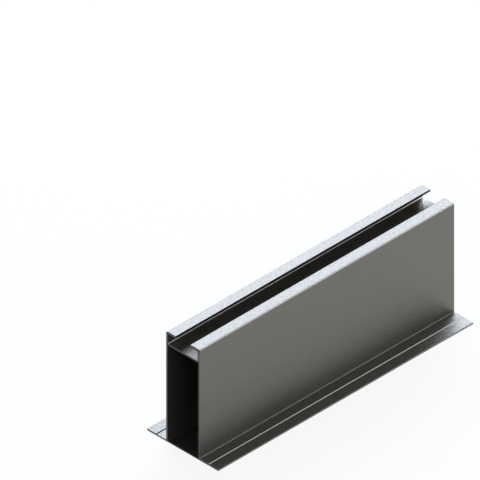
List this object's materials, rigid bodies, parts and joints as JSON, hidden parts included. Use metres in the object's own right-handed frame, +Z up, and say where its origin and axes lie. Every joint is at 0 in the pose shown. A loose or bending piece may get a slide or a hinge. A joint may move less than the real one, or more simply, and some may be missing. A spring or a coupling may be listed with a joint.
{
  "type": "solar mini rail",
  "caption": "Short extruded aluminium roof rail: hollow box body, slotted clamp channel along the top and a thin flanged base with drill lines.",
  "frame": {"origin": "middle of the underside of the base, midway between the two sawn ends", "axes": "+X along the rail, +Y across it from one flange to the other, +Z up from the base to the clamp slot"},
  "size_m": [0.214, 0.06, 0.08],
  "materials": {
    "aluminium": "satin extruded aluminium with fine lengthwise die lines and sawn ends"
  },
  "bodies": {
    "root": {"rail": "aluminium"}
  },
  "joints": []
}
